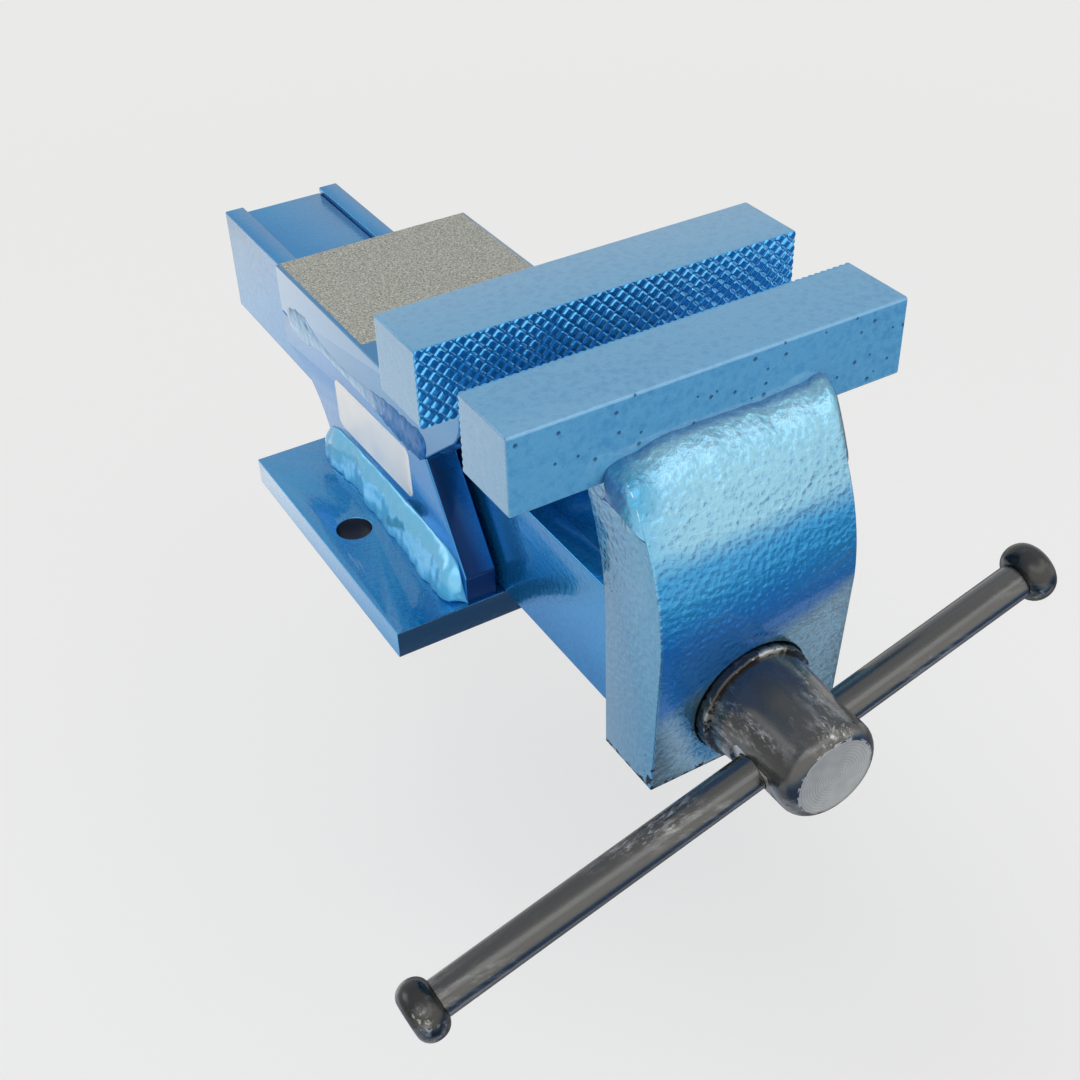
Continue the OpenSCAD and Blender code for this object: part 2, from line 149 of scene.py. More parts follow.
def blend_colour(share, first, second):
    """Output socket of a colour that goes from first to second with share."""
    first, second = (colour if isinstance(colour, bpy.types.NodeSocket) else (*colour[:3], 1)
                     for colour in (first, second))
    return shade(share.id_data, "ShaderNodeMix", {0: share, 6: first, 7: second},
                 data_type="RGBA").outputs[2]


def sums(operation, first, second=0.0):
    """Output socket of one arithmetic step, in the tree of the first socket."""
    return shade(first.id_data, "ShaderNodeMath", {0: first, 1: second},
                 operation=operation).outputs[0]


def times(first, *others):
    """Output socket of a product."""
    for value in others:
        first = sums("MULTIPLY", first, value)
    return first


def plus(first, second):
    """Output socket of a sum."""
    return sums("ADD", first, second)


def coordinates(tree):
    """Output socket of the place on a piece, in the piece's own coordinates."""
    return shade(tree, "ShaderNodeTexCoord").outputs["Object"]


def axes(tree, vector=None):
    """Output sockets X, Y and Z of a vector, or of the place on a piece."""
    vector = coordinates(tree) if vector is None else vector
    return shade(tree, "ShaderNodeSeparateXYZ", {0: vector}).outputs


def distance(tree, point):
    """Output socket of how far the place on a piece is from a point given in millimetres."""
    return shade(tree, "ShaderNodeVectorMath", {
        0: coordinates(tree), 1: tuple(value * MM for value in point),
    }, operation="DISTANCE").outputs["Value"]


def ramp(factor, stops):
    """Output socket of a colour that runs through (position, colour) stops as factor goes from
    -1 to 1. Colours are divided by the brightest level, because the ramp holds none over 1."""
    curve = shade(factor.id_data, "ShaderNodeValToRGB", {"Fac": span(factor, -1.0, 1.0)})
    points = curve.color_ramp.elements
    while len(points) < len(stops):
        points.new(0.5)
    for point, (position, colour) in zip(points, stops):
        point.position = (position + 1) / 2
        point.color = (*(level / brightest for level in colour), 1)
    return curve.outputs["Color"]


def new_material(name):
    """A new material, its tree and its shader."""
    made = bpy.data.materials.new(name)
    made.use_nodes = True
    return made, made.node_tree, made.node_tree.nodes["Principled BSDF"]


world = bpy.data.worlds.new("studio")
bpy.context.scene.world = world
world.use_nodes = True
tree = world.node_tree
direction = axes(tree, shade(tree, "ShaderNodeTexCoord").outputs["Generated"])
lean = span(direction["X"], front_middle - front_width, front_middle + front_width,
            -front_width * front_lean, front_width * front_lean)
dim = times(span(direction["Z"], *dim_rise), span(direction["X"], *dim_left))
around = blend_colour(dim, ramp(direction["Z"], side_stops), dim_grey)
for edges, glare in windows:
    window = times(*(span(direction[axis], dark, bright) for axis, dark, bright in edges))
    around = blend_colour(window, around, tuple(level / brightest for level in glare))
room = blend_colour(span(direction["Y"], *front_y), around,
                    ramp(plus(direction["Z"], lean), front_stops))
paths = shade(tree, "ShaderNodeLightPath").outputs
lit = shade(tree, "ShaderNodeBackground", {"Color": (1, 1, 1, 1), "Strength": light_level})
seen = shade(tree, "ShaderNodeBackground", {"Color": (*background, 1), "Strength": 1.0})
gloss = shade(tree, "ShaderNodeBackground", {"Color": room, "Strength": brightest})
mirrored = shade(tree, "ShaderNodeMixShader", {
    0: paths["Is Glossy Ray"], 1: lit.outputs[0], 2: gloss.outputs[0],
})
direct = sums("MAXIMUM", paths["Is Camera Ray"], paths["Is Transmission Ray"])
whole = shade(tree, "ShaderNodeMixShader", {0: direct, 1: mirrored.outputs[0], 2: seen.outputs[0]})
fill(tree.nodes["World Output"], {"Surface": whole.outputs[0]})

corners = np.array([[-1, -1], [1, -1], [1, 1], [-1, 1]]) * floor_reach
floor_mesh = bpy.data.meshes.new("floor")
floor_mesh.from_pydata(np.c_[corners, np.full(4, floor_z)].tolist(), [], [[0, 1, 2, 3]])
floor = add_object("floor", floor_mesh)
floor.visible_glossy = False
floor_paint, tree, shader = new_material("floor_paint")
fill(shader, {"Base Color": (*floor_grey, 1), "Roughness": 0.9})
pale = shade(tree, "ShaderNodeEmission", {"Color": (*background, 1), "Strength": 1.0})
share = times(shade(tree, "ShaderNodeLightPath").outputs["Is Camera Ray"],
              span(distance(tree, (0, 0, 0)), *shadow_fade, 1 - floor_shadow_share, 1.0))
mixed = shade(tree, "ShaderNodeMixShader", {0: share, 1: shader.outputs[0], 2: pale.outputs[0]})
fill(tree.nodes["Material Output"], {"Surface": mixed.outputs[0]})
floor_mesh.materials.append(floor_paint)

for name, place, size, power in lamps:
    lamp = add_object(name, bpy.data.lights.new(name, "AREA"))
    lamp.location = place
    lamp.rotation_euler = (-lamp.location).to_track_quat("-Z", "Y").to_euler()
    lamp.data.size = size
    lamp.data.energy = power
    lamp.visible_glossy = False


# Base plate: flat steel, sawn to length and drilled, with its edges broken. It carries all the
# rest of the fixed body and is bolted to the bench. Enamelled, with painted shade in its bolt
# holes and on its faces that look forward.
plate_edge = 0.7 * MM
hole_x, hole_r = 52.7 * MM, 6.25 * MM
# The walls of the bolt holes are painted near black as painted shade.
hole_rim = 0.15 * MM        # the dark wall reaches this far past the hole
hole_top_z = 9.6 * MM


def noise(tree, scale, detail=2.0, roughness=0.5, at=None):
    """Output socket of noise over the place on a piece, or over the vector given."""
    return shade(tree, "ShaderNodeTexNoise", {
        "Vector": coordinates(tree) if at is None else at, "Scale": scale, "Detail": detail,
        "Roughness": roughness,
    }).outputs["Fac"]


def new_group(name, inputs, outputs):
    """Tree and given sockets of a new node group; inputs and outputs are (name, kind) pairs."""
    tree = bpy.data.node_groups.new(name, "ShaderNodeTree")
    for in_out, sockets in (("INPUT", inputs), ("OUTPUT", outputs)):
        for socket, kind in sockets:
            tree.interface.new_socket(socket, in_out=in_out, socket_type="NodeSocket" + kind)
    return tree, shade(tree, "NodeGroupInput").outputs


def enamel_group():
    """Hammered enamel. Its height is rounded cells plus fine noise, and the normal follows it.
    The colour goes from Deep to Colour with a slow drift and, by Mottle, with the height."""
    tree, given = new_group("hammered_enamel", (
        ("Colour", "Color"), ("Deep", "Color"), ("Grain", "Float"), ("Mottle", "Float"),
        ("Dimple", "Float"), ("Gloss", "Float"),
    ), (("Colour", "Color"), ("Roughness", "Float"), ("Normal", "Vector")))
    fine = noise(tree, given["Grain"], detail=3.0, roughness=0.6)
    drift = noise(tree, 22.0)
    cells = shade(tree, "ShaderNodeTexVoronoi", {
        "Vector": coordinates(tree), "Scale": times(given["Grain"], 0.8), "Smoothness": 0.7,
    }, feature="SMOOTH_F1").outputs["Distance"]
    height = plus(times(cells, 0.6), times(fine, 0.7))
    speckle = times(span(height, 0.42, 0.72, -1.0, 1.0), given["Mottle"], 0.5)
    share = shade(tree, "ShaderNodeClamp", {
        "Value": plus(speckle, span(drift, 0.3, 0.7, 0.55, 0.95)),
    }).outputs[0]
    bump = shade(tree, "ShaderNodeBump", {
        "Strength": given["Dimple"], "Distance": 0.5 * MM, "Height": height,
    })
    shade(tree, "NodeGroupOutput", {
        "Colour": blend_colour(share, given["Deep"], given["Colour"]),
        "Roughness": plus(given["Gloss"], span(fine, 0.3, 0.7, -0.05, 0.07)),
        "Normal": bump.outputs[0],
    })
    return tree


hammered = enamel_group()


def enamel(name, colour, deep, mottle, grain=620.0, dimple=0.25, gloss=0.25, flake=0.85,
           coat=1.0, coat_ior=1.6):
    """Blue enamel with metal flakes under a clear coat."""
    made, tree, shader = new_material(name)
    group = shade(tree, "ShaderNodeGroup", {
        "Colour": (*colour, 1), "Deep": (*deep, 1), "Grain": grain, "Mottle": mottle,
        "Dimple": dimple, "Gloss": gloss,
    }, node_tree=hammered).outputs
    fill(shader, {
        "Base Color": group["Colour"], "Roughness": group["Roughness"], "Normal": group["Normal"],
        "Metallic": flake, "Coat Weight": coat, "Coat Roughness": 0.07, "Coat IOR": coat_ior,
    })
    return made


def lerp(share, first, second):
    """Output socket of a value that goes from first to second with share."""
    return shade(share.id_data, "ShaderNodeMix", {0: share, 2: first, 3: second}).outputs[0]


def lay_over(made, mask, colour, roughness, metallic=None, coat=None):
    """Lays a second finish over a material where mask is 1."""
    shader = made.node_tree.nodes["Principled BSDF"]
    for key, value in (("Base Color", colour), ("Roughness", roughness), ("Metallic", metallic),
                       ("Coat Weight", coat)):
        if value is None:
            continue
        socket = shader.inputs[key]
        below = socket.links[0].from_socket if socket.links else socket.default_value
        mix = blend_colour if key == "Base Color" else lerp
        fill(shader, {key: mix(mask, below, value)})


def finish_piece(piece, body, slot, paint, *stands_for):
    """Gives a piece its material, the body it moves with and the nodes it stands for."""
    piece.data.materials.clear()
    piece.data.materials.append(paint)
    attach(piece, body)
    if stands_for:
        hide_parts(*stands_for)


def eased(node, edge, segments=3):
    """Copy of a CAD node with its triangles merged to faces and its sharp edges rounded."""
    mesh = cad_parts[node].data.copy()
    mesh.name = node + "_eased"
    tidy = bmesh.new()
    tidy.from_mesh(mesh)
    bmesh.ops.remove_doubles(tidy, verts=tidy.verts, dist=1e-6)
    bmesh.ops.dissolve_limit(tidy, angle_limit=math.radians(0.5), verts=tidy.verts,
                             edges=tidy.edges, delimit={"NORMAL"})
    tidy.to_mesh(mesh)
    tidy.free()
    mesh.shade_smooth()
    piece = add_object(mesh.name, mesh)
    rounding = piece.modifiers.new("rounded_edges", "BEVEL")
    rounding.width = edge
    rounding.segments = segments
    rounding.limit_method = "ANGLE"
    rounding.angle_limit = math.radians(32)
    rounding.harden_normals = True
    rounding.use_clamp_overlap = True
    return piece


def ease_and_finish(node, edge, body, slot, paint, segments=3):
    """Lets the eased copy of a CAD node stand for it."""
    finish_piece(eased(node, edge, segments), body, slot, paint, node)


def front_faces(tree):
    """Mask of the faces that look forward, along -Y."""
    normal = axes(tree, shade(tree, "ShaderNodeNewGeometry").outputs["Normal"])
    return span(normal["Y"], -0.72, -0.85)


def hypotenuse(first, second):
    """Output socket of the root of the sum of two squares."""
    return sums("SQRT", plus(sums("POWER", first, 2.0), sums("POWER", second, 2.0)))


plate_enamel = enamel("plate_enamel", (0.012, 0.3, 0.6), (0.004, 0.17, 0.48), mottle=0.22)
tree = plate_enamel.node_tree
place = axes(tree)
from_hole_x = sums("SUBTRACT", sums("ABSOLUTE", place["X"]), hole_x)
from_hole = hypotenuse(from_hole_x, place["Y"])
# Painted shade: the walls of the bolt holes are painted near black.
hole_painted_shade = times(sums("LESS_THAN", from_hole, hole_r + hole_rim),
                sums("LESS_THAN", place["Z"], hole_top_z))
# Painted shade: the faces that look forward are painted darker.
lay_over(plate_enamel, front_faces(tree), (0.012, 0.05, 0.1), 0.3, metallic=0.3, coat=0.5)
lay_over(plate_enamel, hole_painted_shade, (0.008, 0.012, 0.03), 0.5, metallic=0.0, coat=0.0)
ease_and_finish("base_plate", plate_edge, "vise_body", "body_paint", plate_enamel)


# Cheeks: two plates welded upright on the base plate, raked in front and hollow behind. The
# slide runs between them.
cheek_edge = 0.6 * MM
cheek_enamel = enamel("cheek_enamel", (0.006, 0.24, 0.58), (0.002, 0.14, 0.44),
                      mottle=0.1, dimple=0.1, gloss=0.2, flake=0.7, coat=0.45)
# Painted shade: the cheeks' faces that look forward are painted darker.
lay_over(cheek_enamel, front_faces(cheek_enamel.node_tree), (0.003, 0.035, 0.13), 0.3, coat=0.2)
for node in ("left_cheek", "right_cheek"):
    ease_and_finish(node, cheek_edge, "vise_body", "body_paint", cheek_enamel)


# Anvil block: one thick piece over the slide. The neck in front carries the fixed jaw, and the
# flat behind it is ground bare, an anvil that the enamel frames with a thin line.
block_edge = 0.6 * MM
anvil_top = 73.2 * MM
ground_z = (anvil_top - 0.35 * MM, anvil_top + 0.3 * MM)
ground_from_y = 11 * MM
ground_side_x = 37.6 * MM
ground_grey = (0.68, 0.67, 0.59)
ground_dark = (0.2, 0.2, 0.18)


def within(value, low, high):
    """Mask of where value lies between low and high."""
    return times(sums("GREATER_THAN", value, low), sums("LESS_THAN", value, high))


def press_in(made, height, reach, strength=1.0):
    """Adds relief to a material, reach high, on top of the normal that it has."""
    shader = made.node_tree.nodes["Principled BSDF"]
    bump = shade(made.node_tree, "ShaderNodeBump", {
        "Strength": strength, "Distance": reach, "Height": height,
    })
    for link in shader.inputs["Normal"].links:
        fill(bump, {"Normal": link.from_socket})
    fill(shader, {"Normal": bump.outputs[0]})


block_enamel = enamel("block_enamel", (0.03, 0.24, 0.48), (0.015, 0.16, 0.4),
                      mottle=0.1, dimple=0.06, gloss=0.16)
tree = block_enamel.node_tree
place = axes(tree)
ragged = span(noise(tree, 3000.0), 0.3, 0.7, -0.25 * MM, 0.25 * MM)
ragged_x = plus(sums("ABSOLUTE", place["X"]), ragged)
bare = times(sums("GREATER_THAN", plus(place["Y"], ragged), ground_from_y),
             sums("LESS_THAN", ragged_x, ground_side_x), within(place["Z"], *ground_z))
grit = noise(tree, 1350.0, detail=4.0, roughness=0.8)
grey = blend_colour(span(grit, 0.38, 0.62), ground_dark, ground_grey)
press_in(block_enamel, grit, 0.25 * MM, times(bare, 0.5))
lay_over(block_enamel, bare, grey, 0.6, coat=0.0)
ease_and_finish("anvil_block", block_edge, "vise_body", "block_paint", block_enamel)


# Fixed jaw: a length of square bar welded across the neck. Two families of grooves are cut
# across its gripping face at right angles, and the enamel runs into them. That face is painted
# a deeper blue, a painted reflection of the light thrown between the grooves. The enamel serves
# the moving jaw too, whose front has pinholes where gas came out of the bar's skin; they are
# painted dark inside as painted shade.
jaw_edge = 0.9 * MM
jaw_end_edge = 0.54 * MM
jaw_step = 0.27 * MM
groove_pitch = 3.1 * MM
groove_depth = 0.5 * MM
groove_share = 0.36         # of the pitch; the rest is the flat top of the pyramids
grip_y = (-110.25 * MM, -85.15 * MM)
pored_front_y = -133.6 * MM
pore_scale = 170.0          # cells in a metre, some with a pinhole in the middle
pore_reach_share = (0.06, 0.13)     # of a cell
sound_share = 0.52          # of the cells, which have none


def columns(*values):
    """Array with one column for each array or number given, side by side on its last axis."""
    return np.stack(np.broadcast_arrays(*values), -1)


def closed_rings(rings, loop=False):
    """Points and faces of a closed shell through an (n, m, 3) array of rings. Each quad joins
    neighbours on a ring to those on the next. A fan round its middle closes each end, but in a
    loop the last ring joins the first. The faces are turned round if their volume is negative."""
    n, m = rings.shape[:2]
    spots = np.concatenate([rings.reshape(-1, 3), [rings[0].mean(0), rings[-1].mean(0)]])
    i, j = np.meshgrid(np.arange(n if loop else n - 1), np.arange(m), indexing="ij")
    after, k = (i + 1) % n, (j + 1) % m
    quads = columns(i * m + j, i * m + k, after * m + k, after * m + j).reshape(-1, 4)
    around = np.arange(m)
    after = (around + 1) % m
    last = (n - 1) * m
    fans = np.concatenate([columns(after, around, n * m),
                           columns(last + around, last + after, n * m + 1)])
    if loop:
        spots, fans = spots[:-2], fans[:0]
    thirds = np.concatenate([fans, quads[:, [0, 1, 2]], quads[:, [0, 2, 3]]])
    a, b, c = (spots[thirds[:, side]] - spots[0] for side in range(3))
    if np.einsum("ij,ij->", a, np.cross(b, c)) < 0:
        quads, fans = quads[:, ::-1], fans[:, ::-1]
    return spots, quads, fans


def make_piece(name, shells, sharp=None):
    """One object of several closed shells, shaded smooth but for edges past an angle."""
    spots, faces, count = [], [], 0
    for shell_spots, quads, fans in shells:
        spots += shell_spots.tolist()
        faces += (quads + count).tolist() + (fans + count).tolist()
        count += len(shell_spots)
    mesh = bpy.data.meshes.new(name)
    mesh.from_pydata(spots, [], faces)
    mesh.shade_smooth()
    if sharp:
        mesh.set_sharp_from_angle(angle=math.radians(sharp))
    return add_object(name, mesh)


def quarter(steps=4):
    """Cosine and sine of angles that turn through a quarter, as two arrays."""
    turn = np.linspace(0, np.pi / 2, steps + 1)
    return np.cos(turn), np.sin(turn)


def knurl(x, z):
    """Depth of the gripping face at (x, z): each of two diagonal families is a zigzag of one
    groove per pitch, and the deeper of the two counts, which leaves rows of pyramids."""
    zigzags = [np.abs(((x * side + z) / np.sqrt(2) / groove_pitch + 0.5) % 1 - 0.5) * 2
               for side in (1, -1)]
    cuts = np.stack([np.clip(1 - zigzag / groove_share, 0, 1) for zigzag in zigzags])
    return groove_depth * cuts.max(0)


def jaw_bar(name, low, high, facing):
    """Square bar: rings of its outline across the vise. The gripping side (facing is its sign
    along Y) is pushed in by knurl(), the other edges are quarter rounds, and the ends are
    rounded by drawing the first and last rings in on a quarter circle."""
    size = np.array(high) - np.array(low)
    middle = (np.array(high) + np.array(low))[1:] / 2
    z = np.linspace(low[2], high[2], int(size[2] / jaw_step))
    cos, sin = quarter()
    front, back = (low[1], high[1]) if facing < 0 else (high[1], low[1])
    far_z = np.linspace(high[2] - jaw_edge, low[2] + jaw_edge, int(size[2] / (2 * jaw_step)))
    outline = np.concatenate([
        columns(front, z),
        columns(back + facing * jaw_edge * (1 - sin), high[2] - jaw_edge * (1 - cos)),
        columns(back, far_z),
        columns(back + facing * jaw_edge * (1 - cos), low[2] + jaw_edge * (1 - sin)),
    ])
    end = jaw_end_edge * (1 - np.cos(np.linspace(0, np.pi / 2, 4)[:-1]))
    x = np.concatenate([
        low[0] + end,
        np.linspace(low[0] + jaw_end_edge, high[0] - jaw_end_edge, int(size[0] / jaw_step)),
        high[0] - end[::-1],
    ])
    edge = np.clip(np.minimum(x - low[0], high[0] - x), 0, jaw_end_edge)
    draw = jaw_end_edge - np.sqrt(jaw_end_edge ** 2 - (jaw_end_edge - edge) ** 2)
    shrink = 1 - draw[:, None] / (size[None, 1:] / 2)
    rings = np.empty((len(x), len(outline), 3))
    rings[..., 0] = x[:, None]
    rings[..., 1:] = middle + (outline[None] - middle) * shrink[:, None, :]
    gripping = rings[:, :len(z)]
    gripping[..., 1] -= facing * knurl(gripping[..., 0], gripping[..., 2])
    caps = [rings[k] * 0.97 + rings[k].mean(0) * 0.03 for k in (0, -1)]
    return make_piece(name, [closed_rings(np.concatenate([caps[:1], rings, caps[1:]]))], sharp=40)


jaw_enamel = enamel("jaw_enamel", (0.085, 0.31, 0.53), (0.05, 0.24, 0.47),
                    grain=520.0, mottle=0.8, dimple=0.22, gloss=0.27, flake=0.1, coat_ior=1.58)
tree = jaw_enamel.node_tree
place = axes(tree)
# Painted reflection: the gripping face is painted a deeper, brighter blue for the light thrown
# between its grooves. It is also glossier and more metallic.
lay_over(jaw_enamel, within(place["Y"], *grip_y), (0.04, 0.36, 0.7), 0.16, metallic=0.85)
face_place = shade(tree, "ShaderNodeCombineXYZ", {0: place["X"], 1: place["Z"]}).outputs[0]
cells = shade(tree, "ShaderNodeTexVoronoi", {"Vector": face_place, "Scale": pore_scale},
              voronoi_dimensions="2D").outputs
hues = shade(tree, "ShaderNodeSeparateColor", {0: cells["Color"]}).outputs
pore_reach = span(hues[1], 0, 1, *pore_reach_share)
pore = times(span(sums("DIVIDE", cells["Distance"], pore_reach), 1.0, 0.5),
             sums("GREATER_THAN", hues[0], sound_share),
             sums("LESS_THAN", place["Y"], pored_front_y))
# Painted shade: the pinholes are painted dark inside.
lay_over(jaw_enamel, pore, (0.008, 0.08, 0.22), 0.4, coat=0.5)
press_in(jaw_enamel, span(pore, 1, 0), 0.5 * MM)
finish_piece(jaw_bar("fixed_jaw_bar", *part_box("fixed_jaw"), -1), "vise_body", "jaw_paint",
             jaw_enamel, "fixed_jaw")


# Slide: two side bars with a plate let in between them, open below, where the screw runs. It is
# welded to the carrier, and only its enamel touches the cheeks.
slide_edge = 0.6 * MM
slide_enamel = enamel("slide_enamel", (0.01, 0.27, 0.57), (0.003, 0.15, 0.48),
                      mottle=0.2, dimple=0.2, gloss=0.22, flake=0.75, coat=0.5)
for node in ("slide_left_bar", "slide_right_bar", "slide_top_plate"):
    ease_and_finish(node, slide_edge, "moving_jaw", "slide_paint", slide_enamel)


# Carrier: cut from thick plate with a torch, hollow behind and bulging in front, and bored with
# a seat for the spindle's ring. Its enamel is pale, with a deep blue band of painted shade and
# reflection above the ring, and painted shade and highlights round the weld on its front. It is
# chipped at the foot and rubbed through at one corner.
carrier_edge = 1.1 * MM
carrier_side_x = 32.6 * MM
margin_x = (-26 * MM, -32 * MM)
margin_blue = (0.025, 0.27, 0.5)
# A band of painted shade and reflection across the front above the ring, turquoise at its top:
shade_band_top_z = (88 * MM, 81 * MM)
shade_band_low_z = (42 * MM, 49 * MM)
shade_band_slope = 0.375
shade_band_y = (-143 * MM, -148 * MM)
shade_band_left_x = (0.2 * MM - carrier_side_x, 0.9 * MM - carrier_side_x)
shade_band_blue = (0.003, 0.15, 0.5)
shade_band_turquoise = (0.01, 0.24, 0.5)
shade_band_turquoise_z = (73 * MM, 60 * MM)
# Painted shade along the top toe of the carrier weld, under the moving jaw's front:
toe_y = (-136.6 * MM, -134.9 * MM)
toe_low_z = 103 * MM
toe_shade_blue = (0.006, 0.14, 0.34)
runs = (                    # painted shade and highlight round the weld's ends: middle and two reaches in mm, colour
    ((-34, -141, 104), 5.0, 12.0, (0.008, 0.22, 0.4)),
    ((-37, -137.5, 100.5), 4.6, 6.8, (0.006, 0.12, 0.34)),
    ((38.5, -139, 106), 4.5, 7.5, (0.015, 0.42, 0.62)),
)
torch_low_z = (40 * MM, 46 * MM)
torch_top_z = (61 * MM, 55 * MM)
torch_x = (-22 * MM, 14 * MM)
foot_z = (30 * MM, 8 * MM)
sole_z = (9.5 * MM, 7.2 * MM)
corner_x = (-30.4 * MM, -32 * MM)
corner_y = (-149 * MM, -152.5 * MM)
rubbed_x = (-0.12 * MM - carrier_side_x, 0.12 * MM - carrier_side_x)
rubbed_corner = (-32.6, -139.5, 98.5)
rubbed_reach = (8.5 * MM, 5 * MM)


def drawn_out(tree, turn, scales):
    """Output socket of noise over the place on a piece, scaled along each axis, then turned."""
    mapped = shade(tree, "ShaderNodeMapping", {
        "Vector": coordinates(tree), "Rotation": turn, "Scale": scales,
    })
    return noise(tree, 1.0, detail=3.0, at=mapped.outputs[0])


carrier_enamel = enamel("carrier_enamel", (0.16, 0.38, 0.51), (0.05, 0.25, 0.45),
                        grain=640.0, mottle=0.32, dimple=1.0, gloss=0.15)
tree = carrier_enamel.node_tree
place = axes(tree)
wander = span(noise(tree, 140.0), 0.3, 0.7, -1.0, 1.0)
margin = span(plus(place["X"], times(wander, 1.6 * MM)), *margin_x)
lay_over(carrier_enamel, times(margin, 0.5), margin_blue, 0.17)
# Painted shade and reflection: a deep blue band across the front above the ring.
uneven_z = plus(place["Z"], times(wander, 0.8 * MM))
slanted_z = sums("SUBTRACT", uneven_z, times(place["X"], shade_band_slope))
painted_shade_band = times(span(uneven_z, *shade_band_top_z), span(slanted_z, *shade_band_low_z),
             span(place["Y"], *shade_band_y), span(place["X"], *shade_band_left_x), 0.95)
shade_band_colour = blend_colour(span(uneven_z, *shade_band_turquoise_z), shade_band_turquoise, shade_band_blue)
lay_over(carrier_enamel, painted_shade_band, shade_band_colour, 0.2, metallic=0.5, coat=0.25)
# Painted shade: a dark blue line along the weld's top toe, in the crease under the jaw's front.
toe = times(span(plus(place["Y"], times(wander, 0.5 * MM)), *toe_y),
            sums("GREATER_THAN", place["Z"], toe_low_z), 0.85)
lay_over(carrier_enamel, toe, toe_shade_blue, 0.2)
# Painted shade round the weld's left end and a painted highlight at its right end.
for middle, inner, outer, colour in runs:
    reach = plus(distance(tree, middle), times(wander, 0.7 * MM))
    painted_shade_and_highlight = times(span(reach, outer * MM, inner * MM), 0.85)
    lay_over(carrier_enamel, painted_shade_and_highlight, colour, 0.18)

torch = drawn_out(tree, (0, math.radians(-4), 0), (14, 60, 330))
torched = times(span(place["Z"], *torch_low_z), span(place["Z"], *torch_top_z),
                span(place["X"], *torch_x, 0.12, 1.0))
press_in(carrier_enamel, torch, 0.9 * MM, torched)
flaky = noise(tree, 420.0, detail=4.0, roughness=0.65)
near_corner = times(span(place["X"], *corner_x), span(place["Y"], *corner_y))
chipping = times(sums("MAXIMUM", near_corner, span(place["Z"], *sole_z)),
                 span(place["Z"], *foot_z))
chipped = times(span(plus(flaky, times(chipping, 0.3)), 0.76, 0.79),
                sums("GREATER_THAN", chipping, 0.02))
lay_over(carrier_enamel, chipped, (0.02, 0.03, 0.05), 0.55, coat=0.0)
scratch = drawn_out(tree, (math.radians(35), 0, 0), (1, 620, 120))
rubbed = times(within(place["X"], *rubbed_x), span(distance(tree, rubbed_corner), *rubbed_reach))
for bare_span, colour in (((0.46, 0.56), (0.42, 0.5, 0.52)), ((0.4, 0.36), (0.02, 0.05, 0.1))):
    lay_over(carrier_enamel, times(rubbed, span(scratch, *bare_span)), colour, 0.3)
ease_and_finish("jaw_carrier", carrier_edge, "moving_jaw", "carrier_paint", carrier_enamel)


# Moving jaw: a length of the same square bar, turned to face the fixed jaw and welded on top
# of the carrier.
finish_piece(jaw_bar("moving_jaw_bar", *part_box("moving_jaw"), 1), "moving_jaw", "jaw_paint",
             jaw_enamel, "moving_jaw")


# Foot welds: fillets laid by hand in two passes along the foot of each cheek, then enamelled
# over. They are lighter than the seams above, partly from a painted highlight laid over their
# enamel. They are broad and lumpy, with a trough between the passes, and end in a rounded blob.
bead_step = 0.5 * MM
across = np.linspace(0, 1, 40)[None]    # shares of the way across a bead, from toe to toe
foot_weld_z = (40 * MM, 35 * MM)
weld_enamel = enamel("weld_enamel", (0.13, 0.5, 0.74), (0.045, 0.38, 0.68),
                     grain=420.0, mottle=0.3, dimple=0.15, gloss=0.3, flake=0.35, coat=0.8)
tree = weld_enamel.node_tree
# Painted highlight: the foot welds, low down, are painted lighter and less metallic.
foot_weld_painted_highlight = times(span(axes(tree)["Z"], *foot_weld_z), 0.6)
lay_over(weld_enamel, foot_weld_painted_highlight, (0.12, 0.56, 0.88), 0.22, metallic=0.15, coat=0.9)


def ramble(s, pitch, seed):
    """Slow wander between -1 and 1 along s: three sine waves whose lengths are the pitch and
    0.61 and 0.37 of it, each with its own phase worked out from the seed."""
    return sum(share * np.sin(2 * np.pi * (s / (pitch * length) + seed * 0.317 + length * 1.7))
               for share, length in ((0.5, 1.0), (0.3, 0.61), (0.2, 0.37)))


def waves(s, *rows):
    """Relief of a bead: the sum of its rows, each a height, a slant and a pitch in millimetres
    and a seed, as a ramble along s that slants as it crosses the bead."""
    return sum(height * MM * ramble(s + slant * MM * across, pitch * MM, seed)
               for height, slant, pitch, seed in rows)


def domed(t):
    """Arch of a bead that stands up steeply from both toes: the sine of pi t, to the 0.7."""
    return np.sin(np.pi * t) ** 0.7


def bead(seam, low, high, swell, relief, ends, arch=domed):
    """Rings of a bead of weld. Each runs from its low toe to its high toe over the arch, swell
    times as high, with relief added under it, and closes through the seam. Towards both ends
    the toes draw together on a quarter circle."""
    length = np.concatenate([[0], np.cumsum(np.linalg.norm(np.diff(seam, axis=0), axis=1))])
    near = [np.clip(1 - length / ends[0], 0, 1), np.clip(1 - (length[-1] - length) / ends[1], 0, 1)]
    whole = np.clip(np.sqrt(1 - np.maximum(*near) ** 2), 0.1, 1)[:, None]
    middle = (low + high) / 2
    low, high = middle + (low - middle) * whole, middle + (high - middle) * whole
    out = np.cross(high - low, np.gradient(seam, axis=0))
    out /= np.linalg.norm(out, axis=1, keepdims=True)
    out *= np.sign(np.einsum("ij,ij->i", out, middle - seam))[:, None]
    rise = arch(across) * (np.asarray(swell).reshape(-1, 1) + relief) * whole
    surface = (low[:, None] + (high - low)[:, None] * across[..., None]
               + out[:, None] * rise[..., None])
    return np.concatenate([surface, seam[:, None]], axis=1)


def moved(points, x=0.0, y=0.0, z=0.0):
    """Points shifted along each axis by a length, or by an array with a length for each."""
    return columns(points[:, 0] + x, points[:, 1] + y, points[:, 2] + z)


